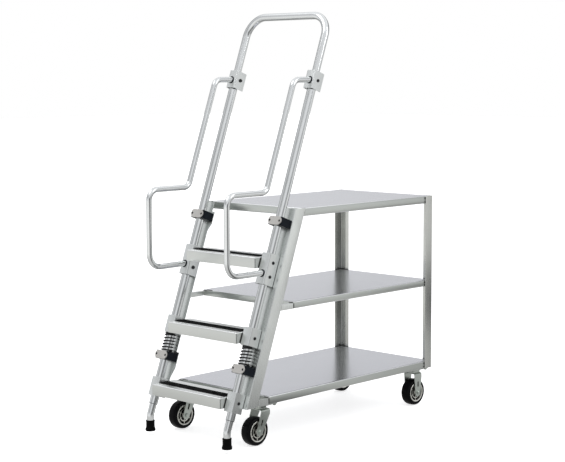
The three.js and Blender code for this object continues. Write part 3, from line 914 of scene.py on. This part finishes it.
for level, ((low, high), bolts) in BRACKETS.items():
    for name, side, x in STILES:
        shape = shifted(prism(channel_section(side), low, high), x)
        piece(f"{level}_channel_{name}", moved(shape, LEAN), BRACKET, "ladder", f"{level}_{name}",
              bevel=0.6)
        for number, along in enumerate(bolts, 1):
            outward = Matrix.Rotation(side * pi / 2, 4, "Y")
            at = Matrix.Translation((x + side * (CHANNEL_OUT + 0.1), BOLT_BEHIND, along))
            piece(f"{level}_bolt_{number}_{name}", moved(button_bolt(7.4, 5.2), LEAN @ at @ outward),
                  BLACK_SCREW, "ladder", bevel=0.3)
            if along in NUTS_THAT_SHOW:
                inward = Matrix.Rotation(-side * pi / 2, 4, "Y")
                at = Matrix.Translation((x - side * CHANNEL_IN, BOLT_BEHIND, along))
                piece(f"{level}_nut_{number}_{name}", moved(hex_bolt(7.2, 7.0, 8.6), LEAN @ at @ inward),
                      BLACK_SCREW, "ladder", bevel=0.3)

# ---- steps and grip strips

STEP_SHEET = 3.0
SEAM_GAP = 2.2


def step_shape(low, high):
    """A folded tread with an open seam beside each corner."""
    tread = pan(high.x, (low.y, high.y), high.z, low.z, STEP_SHEET, lip=0, edge_radius=5.0, corner_radius=3.0)
    seams = []
    for side in (-1, 1):
        for y in (low.y + 3.4, high.y - 3.4 - SEAM_GAP):
            x = sorted((side * (high.x - 4), side * (high.x + 2)))
            seams.append(box(x, (y, y + SEAM_GAP), (low.z - 1, high.z - 7)))
    return cut(tread, *seams)


for level, (low, high) in STEPS.items():
    piece(f"step_tread_{level}", step_shape(low, high), STEP, "ladder", f"step_{level}", bevel=0.35)
    for name, side in SIDES:
        heights = (low.z + 4, high.z - 3)
        leaning = tuple(leaning_y(z, -27.2) for z in heights)
        bead(f"step_weld_{level}_{name}", side * (high.x + 0.2), leaning, heights, 2.0, "ladder")

GRIT_SPACING = 2.6
GRIT_JITTER = 0.9


def grit_strip(low, high, seed):
    """An anti-slip strip with a coarse crushed surface and a thin soft edge."""
    chance = random.Random(seed)
    nx = int((high.x - low.x) / GRIT_SPACING)
    ny = int((high.y - low.y) / GRIT_SPACING)
    rows = []
    for i in range(nx + 1):
        x = low.x + (high.x - low.x) * i / nx
        row = []
        for j in range(ny + 1):
            y = low.y + (high.y - low.y) * j / ny
            on_rim = i in (0, nx) or j in (0, ny)
            jitter = 0 if on_rim else GRIT_JITTER
            height = 0.7 if on_rim else 1.0 + 0.55 * chance.random()
            row.append(Vector((x + jitter * (chance.random() - 0.5), y + jitter * (chance.random() - 0.5),
                               low.z + height)))
        rows.append(row)
    verts = [v for row in rows for v in row]
    width = ny + 1
    faces = [(i * width + j, (i + 1) * width + j, (i + 1) * width + j + 1, i * width + j + 1)
             for i in range(nx) for j in range(ny)]
    rim = ([(i, 0) for i in range(nx)] + [(nx, j) for j in range(ny)]
           + [(i, ny) for i in range(nx, 0, -1)] + [(0, j) for j in range(ny, 0, -1)])
    start = len(verts)
    verts += [Vector((rows[i][j].x, rows[i][j].y, low.z)) for i, j in rim]
    for k, (i, j) in enumerate(rim):
        n = (k + 1) % len(rim)
        faces.append((i * width + j, rim[n][0] * width + rim[n][1], start + n, start + k))
    faces.append(tuple(start + k for k in range(len(rim))))
    return verts, faces


for seed, level in enumerate(STEPS):
    shape = grit_strip(*node_box(f"grip_strip_{level}"), seed)
    piece(f"grip_surface_{level}", shape, GRIT, "ladder", f"grip_strip_{level}", sharp=60)

# ---- handrails

RAIL_R, RAIL_BORE = 12.7, 10.6
RAIL_AHEAD = -119.0
RAIL_SHOULDER_Z = 1092.5
for name, side, x in STILES:
    low, high = node_box(f"handrail_{name}")
    top_z, bottom_z, front_y = high.z - RAIL_R, low.z + RAIL_R, low.y + RAIL_R
    corners = [
        (x, leaning_y(top_z - RAIL_R, CHANNEL_FRONT) - 0.5, top_z),
        (x, leaning_y(top_z, RAIL_AHEAD), top_z),
        (x, leaning_y(RAIL_SHOULDER_Z, RAIL_AHEAD), RAIL_SHOULDER_Z),
        (x, front_y, RAIL_SHOULDER_Z),
        (x, front_y, bottom_z),
        (x, leaning_y(bottom_z - RAIL_R, CHANNEL_FRONT) - 0.5, bottom_z),
    ]
    path = bend_path(corners, [42, 38, 48, 60], steps=14)
    piece(f"handrail_tube_{name}", sweep(path, RAIL_R, RAIL_BORE, sides=40), RAIL, "ladder",
          f"handrail_{name}")
    # A black ring round each handrail end: painted shadow where the tube meets its bracket.
    for label, z in (("upper", top_z), ("lower", bottom_z)):
        ring = []
        for angle in around(48):
            ring_z = z + 13.4 * sin(angle)
            ring.append(Vector((x + 13.4 * cos(angle), leaning_y(ring_z, CHANNEL_FRONT - 0.6), ring_z)))
        soft_ring(f"handrail_collar_{label}_{name}", ring, 2.8)

# ---- lift springs

SPRING_R, SPRING_WIRE = 23.4, 2.9
SPRING_LOW, SPRING_HIGH = 386.2, 470.4
SPRING_TURNS = 7.0
CLOSED_TURNS = 0.9
TURN_STEPS = 36


def coil():
    """A compression spring along Z with closed end turns."""
    wire = SPRING_WIRE
    dead = wire * 2.05
    rise = SPRING_HIGH - SPRING_LOW - 2 * wire - dead
    open_turns = SPRING_TURNS - 2 * CLOSED_TURNS
    rings = []
    for s in range(int(TURN_STEPS * SPRING_TURNS) + 1):
        t = s / TURN_STEPS
        if t < CLOSED_TURNS:
            z = SPRING_LOW + wire + dead * t / CLOSED_TURNS * 0.5
        elif t > SPRING_TURNS - CLOSED_TURNS:
            z = SPRING_HIGH - wire - dead * (SPRING_TURNS - t) / CLOSED_TURNS * 0.5
        else:
            z = SPRING_LOW + wire + dead * 0.5 + rise * (t - CLOSED_TURNS) / open_turns
        angle = 2 * pi * t
        outward = Vector((cos(angle), sin(angle), 0))
        rings.append(circle(outward * SPRING_R + Vector((0, 0, z)), wire, outward, Vector((0, 0, 1)), 14))
    return loft(rings)


for name, side, x in STILES:
    spring = piece(f"spring_coil_{name}", moved(shifted(coil(), x), LEAN), WIRE, "cart",
                   f"lift_spring_{name}")
    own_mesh(spring)

# ---- casters

WHEEL_R = 63.5
TYRE_HALF = (node_box("tyre_rear_right")[1].x - node_box("tyre_rear_right")[0].x) / 2
PLATE_TOP = FRAME_FOOT - 0.3
PLATE_BOTTOM = PLATE_TOP - 4
PLATE_HALF_X, PLATE_HALF_Y = 50, 57
NUT_X, NUT_Y = 40, 47
CROWN = node_box("front_caster_fork_right")[1].z - 10
FORK_IN, FORK_OUT = 29.5, 33.0
FORK_END_R = 19.5
SLOT_R, SLOT_HALF = 4.5, 9
RISER_HALF = 24
AXLE_R = 4.75
AXLE_LINE = Matrix.Rotation(pi / 2, 4, "Y")


def slot_outline(axle_y, pivot_y):
    """A slot with round ends on the line from the axle to the crown."""
    axle = Vector((axle_y, WHEEL_R))
    direction = (Vector((pivot_y, CROWN)) - axle).normalized()
    normal = Vector((-direction.y, direction.x))
    middle = axle + direction * 40
    outline = []
    for way in (1, -1):
        end = middle + direction * SLOT_HALF * way
        for step in range(13):
            angle = radians(-90 + 180 * step / 12)
            outline.append(end + way * (direction * cos(angle) + normal * sin(angle)) * SLOT_R)
    return outline


def yoke(pivot_y, axle_y):
    """A pressed fork: a channel bent over the wheel, trimmed to a side outline with a slot."""
    foot = 30
    section = rounded(
        [(-FORK_OUT, foot), (-FORK_OUT, CROWN), (FORK_OUT, CROWN), (FORK_OUT, foot), (FORK_IN, foot),
         (FORK_IN, CROWN - 3.5), (-FORK_IN, CROWN - 3.5), (-FORK_IN, foot)], [0, 8, 8, 0, 0, 4.5, 4.5, 0])
    channel = loft([[Vector((p.x, y, p.y)) for p in section] for y in (pivot_y - 90, pivot_y + 60)])
    trails = axle_y < pivot_y - 1
    outline = [(pivot_y - 27, CROWN + 2), (pivot_y - 27, CROWN - 10)]
    outline += arc((axle_y, WHEEL_R), FORK_END_R, 180, 350 if trails else 360, 18)
    outline += [(pivot_y + 27, CROWN - 22), (pivot_y + 27, CROWN + 2)]
    side_view = prism(outline, -50, 50, ALONG_X)
    slot = prism(slot_outline(axle_y, pivot_y), -50, 50, ALONG_X)
    return combine(channel, ("INTERSECT", side_view), ("DIFFERENCE", slot))


def mounting_plate(y):
    outline = rounded(rectangle(about(0, PLATE_HALF_X), about(y, PLATE_HALF_Y)), 7)
    return prism(outline, PLATE_BOTTOM, PLATE_TOP)


def race_ring(y, low, high, radius):
    return shifted(turned([(0, low), (radius - 2, low), (radius, low + 1.5), (radius, high - 2),
                           (radius - 3, high), (0, high)], 48), 0, y)


def mirrored(side):
    """A (radius, height) outline and its mirror image below z = 0."""
    return [(r, -z) for r, z in side] + side[::-1]


def wheel_hub():
    """A cast wheel centre: rim, recessed web with a ring and ribs, and a boss."""
    half = TYRE_HALF
    rim_outside = mirrored([(41, half - 3), (45.4, half - 1.6), (47, half - 3.2)])
    rim_inside = mirrored([(39.8, 8 - half), (39, -5)])
    rim = turned(rim_outside + rim_inside, 72)
    web = turned(mirrored([(13, 4), (40, 4)]), 72)
    boss = turned(mirrored([(5.2, half + 1.4), (11, half + 1.4), (13.5, half - 1.5), (15.5, 5)]), 48)
    ring = turned(mirrored([(25.5, half - 6), (29.5, half - 6)]), 72)
    rib = box((13, 40), about(0, 2.2), about(0, half - 9))
    ribs = [moved(rib, Matrix.Rotation(radians(degrees), 4, "Z")) for degrees in range(0, 360, 60)]
    return fused(rim, web, boss, ring, *ribs)


def tyre_shell():
    """A moulded tread with round shoulders and a shallow step beside each rim."""
    side = [(47.4, 2.8), (49.5, 0.9), (52.4, 0.2), (54.6, 0.6), (55.2, 1.5), (57.4, 2.0), (60.0, 4.4),
            (62.0, 8.2), (63.1, 13.0), (WHEEL_R, 18.5)]
    return turned(mirrored([(r, TYRE_HALF - inset) for r, inset in side]), 96)


def make_caster(end, name, side):
    """A whole caster.  The front ones swivel: their fork and lower race ride on a body of their own."""
    swivels = end == "front"
    tyre_low, tyre_high = node_box(f"tyre_{end}_{name}")
    x = (tyre_low.x + tyre_high.x) / 2
    axle_y = (tyre_low.y + tyre_high.y) / 2
    plate_low, plate_high = node_box(f"front_caster_plate_{name}" if swivels else f"rear_caster_fork_{name}")
    pivot_y = (plate_low.y + plate_high.y) / 2
    fork_body = f"front_swivel_{name}" if swivels else "cart"
    wheel_body = f"{end}_wheel_{name}"
    centre = Matrix.Translation((x, axle_y, WHEEL_R)) @ AXLE_LINE
    piece(f"{end}_tyre_band_{name}", moved(tyre_shell(), centre), TYRE, wheel_body, f"tyre_{end}_{name}")
    piece(f"{end}_wheel_centre_{name}", moved(wheel_hub(), centre), HUB, wheel_body, f"hub_{end}_{name}",
          bevel=0.5)

    def zinc(label, shape, body, node=None, **edges):
        piece(f"{end}_{label}_{name}", shape, ZINC, body, node, **edges)

    zinc("yoke", shifted(yoke(pivot_y, axle_y), x), fork_body, f"{end}_caster_fork_{name}", bevel=0.7)
    plate_node = f"front_caster_plate_{name}" if swivels else None
    zinc("top_plate", shifted(mounting_plate(pivot_y), x), "cart", plate_node, bevel=0.6)
    if swivels:
        cup = race_ring(pivot_y, CROWN + 10.3, PLATE_BOTTOM + 0.5, 29)
        cone = race_ring(pivot_y, CROWN - 0.5, CROWN + 9.7, 26)
        zinc("race_cup", shifted(cup, x), "cart", sharp=30)
        zinc("race_cone", shifted(cone, x), fork_body, sharp=30)
    else:
        riser = box(about(0, RISER_HALF), about(pivot_y, RISER_HALF), (CROWN - 0.5, PLATE_BOTTOM + 0.5))
        zinc("riser", shifted(riser, x), "cart", bevel=1.5)
    for label, way in (("axle_nut", -side), ("axle_bolt", side)):
        turn = Matrix.Rotation(way * pi / 2, 4, "Y")
        at = Matrix.Translation((x + way * FORK_OUT, axle_y, WHEEL_R))
        zinc(label, moved(hex_bolt(8.6, 7.0, 10.5), at @ turn), fork_body, bevel=0.4)
    zinc("axle_shaft", moved(plug(AXLE_R, -FORK_OUT, FORK_OUT, 32), centre), fork_body, bevel=0.3)
    upside_down = Matrix.Rotation(pi, 4, "X")
    for number, place in enumerate(rectangle(about(x, NUT_X), about(pivot_y, NUT_Y)), 1):
        at = Matrix.Translation((*place, PLATE_BOTTOM))
        zinc(f"plate_nut_{number}", moved(hex_bolt(6.8, 7.5, 8.5), at @ upside_down), "cart", bevel=0.3)


for name, side in SIDES:
    for end in ("front", "rear"):
        make_caster(end, name, side)

# ---- floor and studio

FLOOR_REACH = 40


def floor_sheet(name, height, material):
    mesh = bpy.data.meshes.new(name)
    corners = [(x, y, height) for x, y in rectangle(about(0, FLOOR_REACH), about(0, FLOOR_REACH))]
    mesh.from_pydata(corners, [], [(0, 1, 2, 3)])
    mesh.materials.append(material)
    sheet = add_object(name, mesh)
    sheet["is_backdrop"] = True
    return sheet


floor_look = Look("pale_floor", (0.82, 0.82, 0.82), 0.0, 0.6)
floor_look.rough(floor_look.noise(6.0), 0.55, 0.7)
floor_look.shader.inputs["Emission Color"].default_value = (1, 1, 1, 1)
floor_look.shader.inputs["Emission Strength"].default_value = 0.7
floor = floor_sheet("floor", 0, floor_look.material)
floor.visible_glossy = False
floor.visible_diffuse = False

# What the metal mirrors: the studio round the cart and its floor, given as brightness by compass
# direction in degrees.  The floor is dimmer close to the wheels and in one corner.
STUDIO_WALLS = (
    (-180, 0.28), (-168, 0.50), (-153, 0.92), (-135, 0.60), (-106, 0.40), (-81, 0.58), (-58, 0.95),
    (-34, 0.92), (-11, 0.96), (14, 0.76), (43, 0.70), (55, 0.50), (64, 0.46), (82, 0.36), (98, 0.20),
    (114, 0.42), (134, 0.82), (148, 0.70), (164, 0.28), (180, 0.28),
)
STUDIO_GROUND = (
    (-180, 0.26), (-168, 0.62), (-153, 1.00), (-135, 0.80), (-106, 0.90), (-81, 0.98), (-58, 0.92),
    (-46, 0.80), (-32, 0.12), (-11, 0.10), (14, 0.46), (43, 1.00), (55, 0.66), (64, 0.64), (82, 0.50),
    (98, 0.28), (114, 0.50), (134, 0.90), (148, 0.70), (164, 0.24), (180, 0.22),
)
DARK_CORNER = (2.2, 3.9, 0)


def compass_light(graph, vector, levels):
    """Brightness in the compass direction of a vector."""
    parts = graph.split(vector)
    compass = graph.calculate("ARCTAN2", parts["Y"], parts["X"])
    turn = graph.rescale(compass, -pi, pi)
    stops = [((degrees + 180) / 360, (level, level, level)) for degrees, level in levels]
    return graph.colors(turn, stops, "B_SPLINE")


def measured(graph, vector, measure, other):
    """A vector's distance from a point, or its run along a direction."""
    node = graph.node("VectorMath")
    node.operation = measure
    graph.link(vector, node.inputs[0])
    node.inputs[1].default_value = other
    return node.outputs["Value"]


def eased(graph, value, low, high, to_low, to_high):
    """A smooth ramp over a value."""
    return graph.rescale(value, low, high, to_low, to_high, "SMOOTHSTEP")


def product(graph, first, *others):
    for other in others:
        first = graph.calculate("MULTIPLY", first, other)
    return first


studio_look = Look("studio_floor", (0.02, 0.02, 0.02), 0.0, 0.8)
near = measured(studio_look, studio_look.coords, "DISTANCE", (0, 0, 0))
to_corner = measured(studio_look, studio_look.coords, "DISTANCE", DARK_CORNER)
glow = product(studio_look, compass_light(studio_look, studio_look.coords, STUDIO_GROUND),
               eased(studio_look, near, 0.3, 6.0, 0.66, 1.05),
               eased(studio_look, to_corner, 0.6, 2.4, 0.10, 1.0))
studio_look.feed("Emission Strength", glow)
studio_look.shader.inputs["Emission Color"].default_value = (1, 1, 0.99, 1)
studio_floor = floor_sheet("studio_floor", -0.002, studio_look.material)
studio_floor.visible_camera = False
studio_floor.visible_shadow = False

world = bpy.data.worlds.new("studio")
scene.world = world
world.use_nodes = True
world.node_tree.nodes.clear()
sky = Graph(world.node_tree)
coords = sky.node("TexCoord").outputs["Generated"]
height = measured(sky, coords, "DOT_PRODUCT", (0, 0, 1))

# Walls stand from where the ground ends up to the ceiling, which is dimmest straight above.
WALL_FOOT = (0.14, 0.34)
walls = product(sky, compass_light(sky, coords, STUDIO_WALLS), eased(sky, height, *WALL_FOOT, 0.0, 1.0))
ground = product(sky, compass_light(sky, coords, STUDIO_GROUND), eased(sky, height, *WALL_FOOT, 1.0, 0.0))
sides = product(sky, sky.calculate("ADD", walls, ground), eased(sky, height, 0.46, 0.64, 1.0, 0.0))
ceiling = product(sky, eased(sky, height, 0.46, 0.70, 0.0, 1.15), eased(sky, height, 0.7, 0.95, 1.0, 0.85))
ambient = sky.node("Background", Color=(0.97, 0.98, 1.0, 1))
sky.link(sky.calculate("ADD", sides, ceiling), ambient.inputs["Strength"])
white = sky.node("Background", Color=(1, 1, 1, 1))
seen = sky.node("MixShader")
sky.link(sky.node("LightPath").outputs["Is Camera Ray"], seen.inputs["Fac"])
sky.link(ambient.outputs["Background"], seen.inputs[1])
sky.link(white.outputs["Background"], seen.inputs[2])
sky.link(seen.outputs["Shader"], sky.node("OutputWorld").inputs["Surface"])

# ---- lamps and camera

LAMP_TARGET = Vector((0, 0, 0.8))


def softbox(name, position, size, power):
    data = bpy.data.lights.new(name, "AREA")
    data.shape = "RECTANGLE"
    data.size, data.size_y = size
    data.energy = power
    lamp = add_object(name, data)
    lamp.location = position
    lamp.rotation_mode = "QUATERNION"
    lamp.rotation_quaternion = (LAMP_TARGET - Vector(position)).to_track_quat("-Z", "Y")


softbox("key_softbox", (-1.6, -2.6, 5.6), (2.4, 2.4), 60)
softbox("side_softbox", (3.6, 1.2, 3.4), (1.2, 2.4), 22)

# The camera that took the photo, as fitted to the straight edges of the cart.
CAMERA_PLACE = Vector((4653.0, -5617.7 + REAR_Y, 1594.4)) * MM
CAMERA_AZIMUTH, CAMERA_ELEVATION, CAMERA_ROLL = (radians(v) for v in (43.63, 6.028, -0.205))
CAMERA_LENS, CAMERA_SENSOR = 94.364, 36

camera_data = bpy.data.cameras.new("camera")
camera_data.sensor_width = CAMERA_SENSOR
camera_data.lens = CAMERA_LENS
camera_data.clip_end = 100
camera = add_object("camera", camera_data)
swing = Matrix.Rotation(CAMERA_AZIMUTH, 4, "Z") @ Matrix.Rotation(pi / 2 - CAMERA_ELEVATION, 4, "X")
camera.matrix_world = Matrix.Translation(CAMERA_PLACE) @ swing @ Matrix.Rotation(CAMERA_ROLL, 4, "Z")
scene.camera = camera

scene.view_settings.view_transform = "Standard"
scene.view_settings.look = "None"

low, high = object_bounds()
